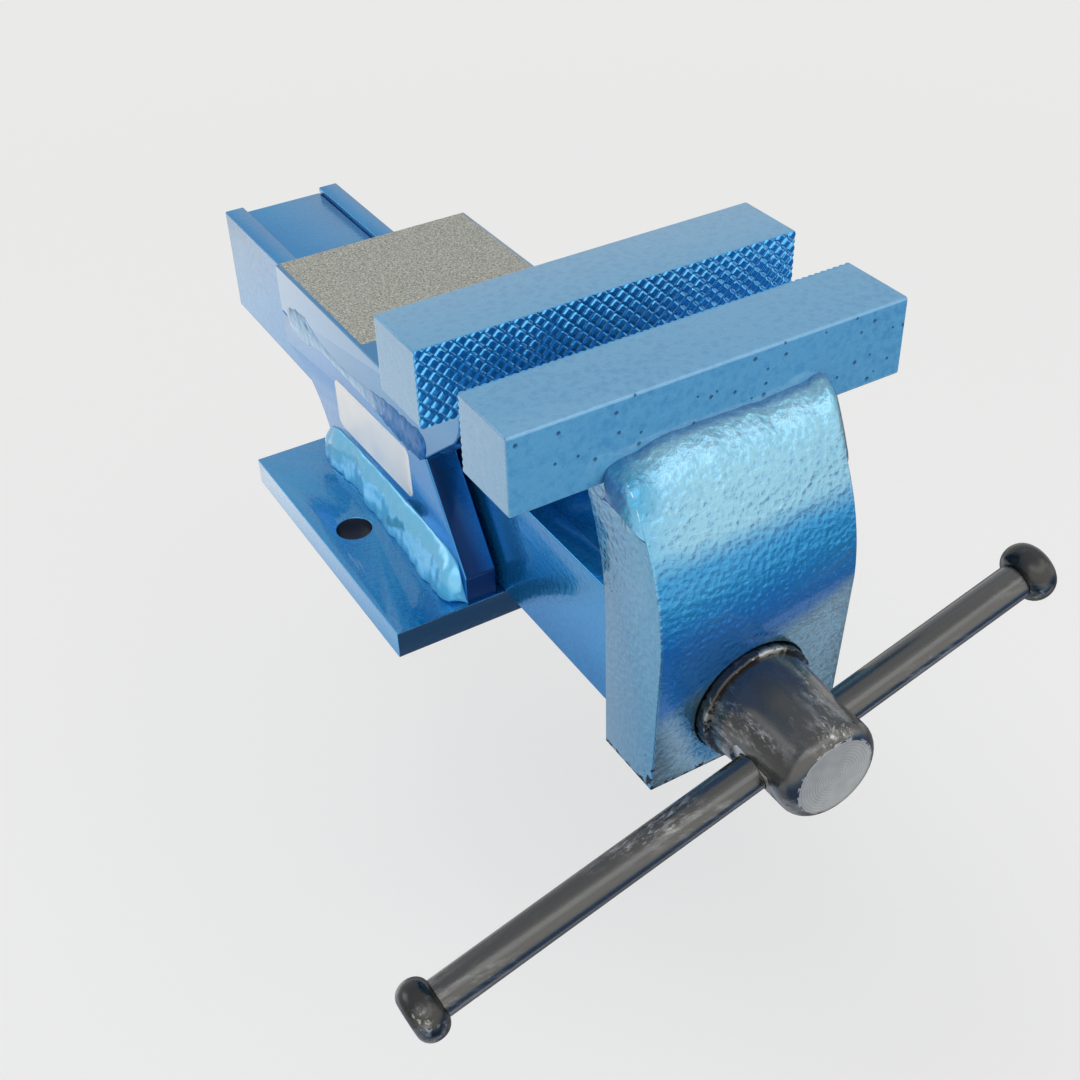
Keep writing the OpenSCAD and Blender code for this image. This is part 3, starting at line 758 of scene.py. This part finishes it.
def knoll(s, at_s, at_across, reach_s, reach_across):
    """Round rise of height 1 on a bead, which falls off as a bell curve along and across it."""
    return np.exp(-((s - at_s) / reach_s) ** 2 - ((across - at_across) / reach_across) ** 2)


def curve_through(stops):
    """Points about a step apart along a smooth curve through stops in millimetres, and the
    distance of each from the start. Each coordinate runs between the stops as a cubic with
    the slope of its neighbours."""
    stops = np.array(stops, float) * MM
    along = np.concatenate([[0], np.cumsum(np.linalg.norm(np.diff(stops[:, :3], axis=0), axis=1))])
    at = np.linspace(0, along[-1], int(along[-1] / bead_step))
    slope = np.gradient(stops, along, axis=0)
    k = np.clip(np.searchsorted(along, at, side="right") - 1, 0, len(stops) - 2)
    reach = (along[k + 1] - along[k])[:, None]
    u = (at[:, None] - along[k][:, None]) / reach
    points = ((2 * u ** 3 - 3 * u ** 2 + 1) * stops[k] + (u ** 3 - 2 * u ** 2 + u) * reach * slope[k]
              + (3 * u ** 2 - 2 * u ** 3) * stops[k + 1] + (u ** 3 - u ** 2) * reach * slope[k + 1])
    return points, np.arange(len(points)) * bead_step


def weld(node, body, runs, mirrored=False, paint=weld_enamel):
    """Makes one piece of the runs of a weld, which overlap, and lets it stand for its node."""
    if mirrored:
        runs = [rings * np.array([-1, 1, 1]) for rings in runs]
    piece = make_piece(node + "_bead", [closed_rings(rings) for rings in runs])
    finish_piece(piece, body, "weld_paint", paint, node)


foot_stops = (              # y, width on the plate, height on the cheek
    (49, 3.4, 11), (41, 4.0, 14.5), (31, 3.8, 16), (23, 2.7, 16.2), (15, 3.4, 16.4), (6, 4.3, 16.6),
    (-3, 4.2, 16.4), (-11, 5.0, 16.6), (-20, 4.6, 16.4), (-29, 5.8, 16.4), (-38, 6.2, 16.2),
    (-47, 6.0, 15.4), (-54, 5.0, 13.8), (-57.3, 4.2, 12),
)
cheek_x, plate_z = -39.0, 10.0      # in millimetres, as stops are
foot, along = curve_through([(cheek_x, y, plate_z, out, up) for y, out, up in foot_stops])
s = along[:, None]
foot_seam = moved(foot, x=0.6 * MM, z=-0.4 * MM)
foot_low = moved(foot, x=-foot[:, 3] - 0.6 * MM * ramble(along, 15 * MM, 3))
foot_high = moved(foot, z=foot[:, 4] + 0.3 * MM * ramble(along, 22 * MM, 7))
trough = (np.exp(-((across - 0.4 - 0.08 * ramble(s, 38 * MM, 4)) / 0.16) ** 2)
          * (0.5 + 0.5 * ramble(s, 44 * MM, 5)))
relief = waves(s, (0.45, 5, 31, 1), (0.28, -4, 15, 2)) - 0.45 * MM * trough
foot_swell = 1.5 * MM + 2.0 * MM * np.exp(-((along - along[-1] + 6 * MM) / (4.5 * MM)) ** 2)
foot_run = bead(foot_seam, foot_low, foot_high, foot_swell, relief, ends=(5 * MM, 6 * MM))
for side in ("left", "right"):
    weld(side + "_foot_weld", "vise_body", [foot_run], mirrored=side == "right")


# Side welds: a seam over the joint of cheek and block. Behind, a broad flat pass ends in a
# crescent with a crater; the middle is nearly flush, and in front the bead is thick and rough
# and wraps round the lower corner of the block.
seam_stops = (              # y, low toe, high toe, swell
    (77, 55, 57, 0.15), (74.5, 52, 58.5, 0.5), (66, 49.8, 61, 0.55), (58, 50.8, 61.5, 0.4),
    (50, 53, 58.6, 0.2), (34, 53.6, 56.6, 0.15), (21, 53.4, 57, 0.15), (4, 52.8, 59.5, 0.25),
    (-8, 51.5, 61.6, 0.6), (-18, 50.8, 62.4, 0.9), (-28, 51.4, 63, 1.2), (-36, 53, 64, 1.5),
)
rough_from, rough_over = 62 * MM, 18 * MM
seam, along = curve_through([(cheek_x, y, (low + high) / 2, (high - low) / 2, swell)
                             for y, low, high, swell in seam_stops])
s = along[:, None]
rough = np.clip((s - rough_from) / rough_over, 0, 1)
half = seam[:, 3] * (1 + 0.1 * ramble(along, 8 * MM, 4))
relief = (waves(s, (0.05 + 0.13 * rough, 3, 13, 8), (0.02 + 0.05 * rough, -9, 4.7, 9),
                (0.05 * rough, 17, 6.1, 10))
          + 0.35 * MM * knoll(s, 10 * MM, 0.07, 9 * MM, 0.05)
          - 0.4 * MM * knoll(s, 20 * MM, 0.85, 2 * MM, 0.14))
seam_run = bead(moved(seam, x=0.8 * MM), moved(seam, z=-half), moved(seam, z=half), seam[:, 4],
                relief, ends=(5 * MM, 4 * MM))

chin, along = curve_through([(-38.6, -31, 56), (-38.4, -38, 57.6), (-38.3, -44.5, 62.2),
                             (-38.2, -50.5, 67.2), (-38.2, -55.5, 71.8), (-38.2, -58.6, 76.2)])
side_toe = moved(chin, -0.5 * MM, 2.8 * MM, 3.4 * MM + 0.5 * MM * ramble(along, 7 * MM, 5))
chin_toe = moved(chin, 5.4 * MM + 0.8 * MM * ramble(along, 9 * MM, 6), -0.8 * MM, -0.9 * MM)
chin_run = bead(moved(chin, 2.6 * MM, 2.0 * MM, 2.4 * MM), chin_toe, side_toe,
                np.linspace(1.5, 0.5, len(chin)) * MM,
                waves(along[:, None], (0.16, 4, 9, 11), (0.05, -5, 4.5, 12)),
                ends=(3 * MM, 6 * MM))
seam_enamel = enamel("seam_enamel", (0.012, 0.17, 0.46), (0.003, 0.07, 0.32),
                     grain=480.0, mottle=0.8, dimple=0.7, gloss=0.34, flake=0.6, coat=0.25)
tree = seam_enamel.node_tree
lay_over(seam_enamel, span(axes(tree)["Y"], -8 * MM, 14 * MM), (0.06, 0.28, 0.5), 0.16,
         metallic=0.85, coat=1.0)
for side in ("left", "right"):
    weld(side + "_side_weld", "vise_body", [seam_run, chin_run], mirrored=side == "right",
         paint=seam_enamel)


# Jaw welds: fillets that hold the fixed jaw on the neck from below and above, and the moving
# jaw on the carrier from behind. Each ripples as the torch was moved along it.
ripple_height, ripple_bow, ripple_pitch = 0.1 * MM, 7 * MM, 2.2 * MM
fillet_swell = 0.9 * MM


def cross_fillet(node, body, y, z, y_out, z_out, seed):
    """Fillet along X in the corner (y, z), with toes y_out along Y and z_out along Z."""
    low_box, high_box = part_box(node)
    x = np.arange(low_box[0], high_box[0], bead_step)
    corner = columns(x, y * MM, z * MM)
    wide = 1 + 0.09 * ramble(x, 12 * MM, seed)
    low = moved(corner, y=y_out * MM * wide)
    high = moved(corner, z=z_out * MM * wide)
    inside = moved(corner, y=-0.5 * MM * np.sign(y_out), z=-0.5 * MM * np.sign(z_out))
    bowed = x[:, None] + ripple_bow * (across - 0.5) ** 2
    relief = (ripple_height * np.sin(2 * np.pi * bowed / ripple_pitch)
              + waves(x[:, None], (0.3, 4, 8, seed)))
    weld(node, body, [bead(inside, low, high, fillet_swell, relief, ends=(3 * MM, 3 * MM))])


cross_fillet("fixed_jaw_lower_weld", "vise_body", -61.5, 102, -6, -6, 1)
cross_fillet("fixed_jaw_upper_weld", "vise_body", -61.5, 112, 6, 6, 2)
cross_fillet("carrier_rear_weld", "moving_jaw", -116.6, 102, 5, -5, 3)


# Carrier weld: the thickest bead of all, dressed so that it runs smoothly from the front of
# the moving jaw into the front of the carrier. Lumps close its ends on the carrier's corners.
carrier_stops = (           # x, height of the top toe, swell
    (-36.6, 105.4, 1.6), (-33, 107.4, 2.8), (-27, 108.6, 3.0), (-18, 110.2, 2.9), (-9, 110.9, 2.85),
    (4, 110.4, 2.85), (16, 110.6, 2.85), (27, 110.9, 2.9), (33, 112.4, 2.8), (37.6, 110.4, 1.6),
)
jaw_front_y = -133.4
carrier_toe = np.array([-149.85, 92.0]) * MM
corner_lift = np.array([8.5, 6.0]) * MM     # of the low toe, past the carrier's sides
corner_from_x, corner_over_x = 31.5 * MM, 5.1 * MM
front_root = np.array([-135.2, 98.6]) * MM
front, along = curve_through([(x, jaw_front_y, top, swell) for x, top, swell in carrier_stops])
s = along[:, None]
past = np.clip((np.abs(front[:, :1]) - corner_from_x) / corner_over_x, 0, 1)
front_low = np.concatenate([front[:, :1], carrier_toe + corner_lift * past ** 2], axis=1)
front_high = moved(front, z=0.5 * MM * ramble(along, 21 * MM, 2))
front_seam = columns(front[:, 0], *front_root)


def leaning(t):
    """Arch that leaves the carrier in line with its front and clears its top edge: t times
    1 - t times 1 + 1.18 t, over its greatest value."""
    return t * (1 - t) * (1 + 1.18 * t) / 0.41


relief = (waves(s, (0.16, 3, 26, 4)) + 1.0 * MM * knoll(s, 5 * MM, 0.6, 4.5 * MM, 0.3)
          + 1.0 * MM * knoll(s, along[-1] - 6 * MM, 0.8, 4.5 * MM, 0.25)
          + 0.8 * MM * knoll(s, 27.5 * MM, 0.96, 1.4 * MM, 0.04))
front_run = bead(front_seam, front_low, front_high, front[:, 3], relief,
                 ends=(3.5 * MM, 3 * MM), arch=leaning)
weld("carrier_front_weld", "moving_jaw", [front_run], paint=carrier_enamel)


# Label: a blank silver-white foil with rounded corners, stuck on the left cheek and turned a
# little from the level. It is a bare plate that stands for no node.
label_middle = np.array([-39.0, 7.1, 39.4]) * MM
label_size = np.array([58.6, 19.2]) * MM
label_corner = 3.0 * MM
label_lift = 0.15 * MM
label_slope = math.radians(1.8)
label_colour = (0.86, 0.86, 0.85)
label_shade = (0.78, 0.79, 0.8)
label_layers = ((1.0, 0.0), (1.0, 0.8), (0.998, 1.0), (0.9, 1.0))   # share of outline and lift

turn = np.linspace(0, np.pi / 2, 9)
outline = np.concatenate([
    np.array(sign) * (label_size / 2 - label_corner)
    + label_corner * columns(np.cos(turn + start), np.sin(turn + start))
    for sign, start in (((1, 1), 0), ((-1, 1), np.pi / 2), ((-1, -1), np.pi),
                        ((1, -1), 1.5 * np.pi))])
flat = np.stack([columns(-label_lift * rise, *(outline * share).T) for share, rise in label_layers])
turned = flat @ np.array(Matrix.Rotation(label_slope, 3, "X"))
label = make_piece("blank_label", [closed_rings(turned + label_middle)], sharp=40)
foil, tree, shader = new_material("label_foil")
cloudy = noise(tree, 60.0, detail=3.0)
fill(shader, {
    "Base Color": blend_colour(span(cloudy, 0.35, 0.65), label_shade, label_colour),
    "Roughness": span(cloudy, 0.3, 0.7, 0.32, 0.42), "Metallic": 0.3,
})
press_in(foil, noise(tree, 2500.0), 0.1 * MM, 0.1)
finish_piece(label, "vise_body", "bright_steel", foil)


# Spindle nut: a block of cast iron, bored for the screw and screwed to the base plate from
# below. It stands inside the slide and guides it.
nut_edge = 0.4 * MM


def scuff_group():
    """Wear on bare steel. Streaks are noise on the given coordinates, which a material draws
    out along one axis, flecks are small bright grains, and both show through slow patches."""
    tree, given = new_group("scuffs", (
        ("Vector", "Vector"), ("Streak", "Float"), ("Patch", "Float"), ("Amount", "Float"),
        ("Fleck", "Float"),
    ), (("Mask", "Float"), ("Height", "Float")))
    streaks = noise(tree, given["Streak"], detail=5.0, roughness=0.7, at=given["Vector"])
    patches = noise(tree, given["Patch"], at=given["Vector"])
    flecks = noise(tree, given["Fleck"], at=given["Vector"])
    worn = times(span(patches, 0.42, 0.62), span(streaks, 0.48, 0.66))
    bright = times(span(patches, 0.52, 0.6), span(flecks, 0.6, 0.66))
    mask = shade(tree, "ShaderNodeClamp", {
        "Value": times(plus(worn, bright), given["Amount"]),
    })
    shade(tree, "NodeGroupOutput", {"Mask": mask.outputs[0], "Height": streaks})
    return tree


scuffs = scuff_group()


def steel(name, dark, light, roughness, wear=0.5, streak=120.0, patch=30.0, fleck=700.0,
          stretch=(1, 1, 1), tilt=0.0, bumps=0.2, metallic=0.8, oil=0.25):
    """Steel whose colour goes from dark to light where it is scuffed. Its roughness and relief
    follow the streaks. Stretch scales the noise along each axis, and tilt turns it about Y."""
    made, tree, shader = new_material(name)
    turned = shade(tree, "ShaderNodeMapping", {
        "Vector": coordinates(tree), "Rotation": (0, tilt, 0), "Scale": stretch,
    })
    group = shade(tree, "ShaderNodeGroup", {
        "Vector": turned.outputs[0], "Streak": streak, "Patch": patch, "Amount": wear,
        "Fleck": fleck,
    }, node_tree=scuffs).outputs
    fill(shader, {
        "Base Color": blend_colour(group["Mask"], dark, light),
        "Roughness": span(group["Height"], 0.3, 0.7, roughness - 0.07, roughness + 0.1),
        "Metallic": metallic, "Coat Weight": oil, "Coat Roughness": 0.15,
    })
    press_in(made, group["Height"], 0.4 * MM, bumps)
    return made


cast_iron = steel("cast_iron", (0.14, 0.14, 0.135), (0.3, 0.3, 0.29), 0.5, wear=0.8, bumps=0.3)
ease_and_finish("spindle_nut", nut_edge, "vise_body", "bare_iron", cast_iron)


# Nut screws: four countersunk socket screws of blackened steel. They come up through the base
# plate from below and hold the spindle nut on it.
nut_screw_edge = 0.15 * MM
screw_black = steel("screw_black", (0.03, 0.03, 0.033), (0.16, 0.16, 0.16), 0.38)
ease_and_finish("nut_screws", nut_screw_edge, "vise_body", "dark_steel", screw_black, segments=2)


# Spindle: a forged head and a rolled trapezoidal screw in one piece of steel, blackened. The end
# of the head and the faces round the bar hole are ground bare.
axis_z = 28.2 * MM
head_edge = 0.5 * MM
screw_r = 11 * MM
screw_root_r = 8.6 * MM
screw_lead = 5 * MM
thread_front_y = -107 * MM
thread_runout = 3 * MM
thread_foot_r = screw_root_r - 0.3 * MM     # its foot is sunk in the core
thread_crest_r = screw_r - 0.05 * MM
crest_share = 0.17
root_share = 0.33
turn_steps = 28
end_y, end_r = -192.55 * MM, 12.0 * MM
rim_y, rim_r = -192.0 * MM, 12.7 * MM
turned_pitch = 0.9 * MM
bar_tilt = math.radians(16.1)
bar_y = -176.3 * MM
spot_r = 8.45 * MM
spot_reach = (15.0 * MM, 15.35 * MM)        # from the axis of the head, along the bar

head = eased("spindle", head_edge)
tidy = bmesh.new()
tidy.from_mesh(head.data)
for cut_y in (thread_front_y, thread_front_y + thread_runout):
    bmesh.ops.bisect_plane(tidy, geom=tidy.verts[:] + tidy.edges[:] + tidy.faces[:],
                           plane_co=(0, cut_y, 0), plane_no=(0, 1, 0))
tidy.to_mesh(head.data)
tidy.free()
core = np.empty(3 * len(head.data.vertices), np.float32)
head.data.vertices.foreach_get("co", core)
core = core.reshape(-1, 3)
radius = np.hypot(core[:, 0], core[:, 2] - axis_z)
behind = (core[:, 1] > thread_front_y + thread_runout / 2) & (radius > screw_root_r)
drawn = np.where(behind, screw_root_r / np.maximum(radius, screw_root_r), 1)
core[:, 0] *= drawn
core[:, 2] = axis_z + (core[:, 2] - axis_z) * drawn
head.data.vertices.foreach_set("co", core.ravel())
head.data.update()

forged = steel("forged_black", (0.024, 0.024, 0.024), (0.34, 0.34, 0.335), 0.24, wear=0.75,
               streak=300.0, patch=70.0, fleck=1300.0, stretch=(1, 0.4, 1), bumps=0.4,
               metallic=0.4, oil=1.0)
tree = forged.node_tree
place = axes(tree)
off_axis = sums("SUBTRACT", place["Z"], axis_z)
radius = hypotenuse(place["X"], off_axis)
uneven = span(noise(tree, 260.0, detail=3.0), 0.3, 0.7, -1.0, 1.0)
end_reach = plus(radius, times(uneven, 0.35 * MM))
end_face = times(sums("LESS_THAN", place["Y"], end_y),
                 sums("LESS_THAN", end_reach, end_r))
turned_marks = sums("SINE", times(radius, 2 * math.pi / turned_pitch))
ground_end = blend_colour(span(plus(turned_marks, uneven), -1.5, 1.5),
                          (0.25, 0.245, 0.225), (0.35, 0.345, 0.32))
lay_over(forged, end_face, ground_end, 0.42, metallic=0.25)
chipped = times(sums("LESS_THAN", place["Y"], rim_y),
                within(end_reach, end_r, rim_r), span(uneven, -0.1, 0.25))
lay_over(forged, chipped, (0.36, 0.36, 0.35), 0.35)
along_bar = plus(times(place["X"], math.cos(bar_tilt)),
                 times(off_axis, math.sin(bar_tilt)))
off_bar = sums("SUBTRACT", times(off_axis, math.cos(bar_tilt)),
               times(place["X"], math.sin(bar_tilt)))
bar_radius = hypotenuse(sums("SUBTRACT", place["Y"], bar_y), off_bar)
spot = times(within(sums("ABSOLUTE", along_bar), *spot_reach),
             sums("LESS_THAN", bar_radius, spot_r))
lay_over(forged, spot, (0.5, 0.49, 0.46), 0.4)
finish_piece(head, "spindle", "black_steel", forged, "spindle")


def turned_about(radius, y, angle):
    """Points at a radius from the spindle's axis, at y along it and turned round it by angle."""
    return columns(radius * np.sin(angle), y, axis_z + radius * np.cos(angle))


thread_rear_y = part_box("spindle")[1][1] - thread_runout
turns = (thread_rear_y - thread_front_y) / screw_lead
angle = np.linspace(0, 2 * np.pi * turns, int(turns * turn_steps))
# The crest rises over the first half turn and falls over the last.
fade = np.clip(np.minimum(angle, angle[-1] - angle) / np.pi, 0.05, 1)
crest = thread_foot_r + (thread_crest_r - thread_foot_r) * fade
section = ((-root_share, thread_foot_r), (-crest_share, crest), (crest_share, crest),
           (root_share, thread_foot_r))
thread_rings = np.stack([
    turned_about(reach, thread_front_y + screw_lead * (angle / (2 * np.pi) + shift), angle)
    for shift, reach in section], 1)
greased = steel("greased_thread", (0.05, 0.048, 0.045), (0.26, 0.25, 0.23), 0.3, wear=0.8, oil=0.6)
finish_piece(make_piece("screw_thread", [closed_rings(thread_rings)], sharp=40), "spindle",
             "black_steel", greased)


# Thrust ring: a turned ring of blackened steel, pressed against the head. It bears on the
# carrier, and its front rim is chipped and rubbed grey.
ring_front_y, ring_rear_y = -159.5 * MM, -154.0 * MM
ring_r = 18.7 * MM
ring_bore_r = 11.1 * MM
ring_face_r = 16.6 * MM
ring_edge = 0.8 * MM
ring_rear_edge = 0.3 * MM
ring_steps = 144
ring_rim = 1.5 * MM         # only this much of the rim is chipped
chip_depth = 0.7 * MM
chipped_y = (-157.8 * MM, -158.8 * MM)


def turned_ring(profile):
    """Rings of a revolved profile of (radius, y) points round the spindle's axis. Chips draw
    the outermost points in, where two rambles round the rim add up to more than 0.3."""
    angle = np.linspace(0, 2 * np.pi, ring_steps, endpoint=False)
    radius, y = profile.T
    rim = np.clip(1 - (ring_r - radius) / ring_rim, 0, 1)
    lost = ramble(angle * ring_r, 11 * MM, 2) + ramble(angle * ring_r, 4 * MM, 5) - 0.3
    radius = radius - chip_depth * rim * np.clip(lost, 0, 1)[:, None]
    return turned_about(radius, y, angle[:, None])


cos, sin = quarter(5)
ring_profile = np.concatenate([
    [[ring_bore_r, ring_rear_y], [ring_bore_r, ring_front_y], [ring_face_r, ring_front_y]],
    columns(ring_r - ring_edge * (1 - sin), ring_front_y + ring_edge * (1 - cos)),
    columns(ring_r - ring_rear_edge * (1 - cos), ring_rear_y - ring_rear_edge * (1 - sin)),
])
ring_black = steel("ring_black", (0.022, 0.022, 0.022), (0.2, 0.2, 0.19), 0.3, wear=0.6,
                   streak=300.0, patch=90.0, bumps=0.5, oil=0.5)
tree = ring_black.node_tree
flaking = plus(noise(tree, 330.0, detail=4.0, roughness=0.65), noise(tree, 95.0))
near_rim = times(span(axes(tree)["Y"], *chipped_y), span(flaking, 1.08, 1.14))
lay_over(ring_black, near_rim, (0.36, 0.365, 0.35), 0.5)
chipped_ring = make_piece(
    "chipped_ring", [closed_rings(turned_ring(ring_profile), loop=True)], sharp=50)
finish_piece(chipped_ring, "spindle", "black_steel", ring_black, "thrust_ring")


# Washer, collar and pin: turned steel behind the carrier, which they pull along when the vise
# opens.
for node, slot, edge, finish in (
    ("thrust_washer", "bright_steel", 0.25 * MM,
     steel("washer_bright", (0.4, 0.4, 0.4), (0.6, 0.6, 0.6), 0.3, wear=0.6)),
    ("retaining_collar", "dark_steel", 0.4 * MM,
     steel("collar_dark", (0.06, 0.06, 0.063), (0.24, 0.24, 0.24), 0.35, wear=0.7)),
    ("collar_pin", "bright_steel", 0.2 * MM,
     steel("pin_bright", (0.35, 0.35, 0.36), (0.6, 0.6, 0.6), 0.28, wear=0.6)),
):
    ease_and_finish(node, edge, "spindle", slot, finish)


# Handle bar: a length of drawn round bar that slides through the head. It is black, and
# scuffed grey in long streaks where it has slid.
bar_edge = 0.2 * MM
bar_black = steel("bar_black", (0.026, 0.026, 0.026), (0.3, 0.3, 0.297), 0.24, wear=0.75,
                  streak=600.0, patch=60.0, fleck=1300.0, stretch=(0.2, 1, 1), tilt=bar_tilt,
                  bumps=0.3, metallic=0.4, oil=1.0)
ease_and_finish("handle_bar", bar_edge, "handle", "black_steel", bar_black)


# End knobs: the ends of the bar, upset hot and hammered a little flat. They are as black as
# the bar, and rougher.
knob_edge = 0.3 * MM
knob_black = steel("knob_black", (0.022, 0.022, 0.022), (0.26, 0.26, 0.25), 0.28, wear=0.8,
                   streak=240.0, patch=110.0, fleck=800.0, tilt=bar_tilt, bumps=0.45, oil=0.5)
for node in ("left_knob", "right_knob"):
    ease_and_finish(node, knob_edge, "handle", "black_steel", knob_black)
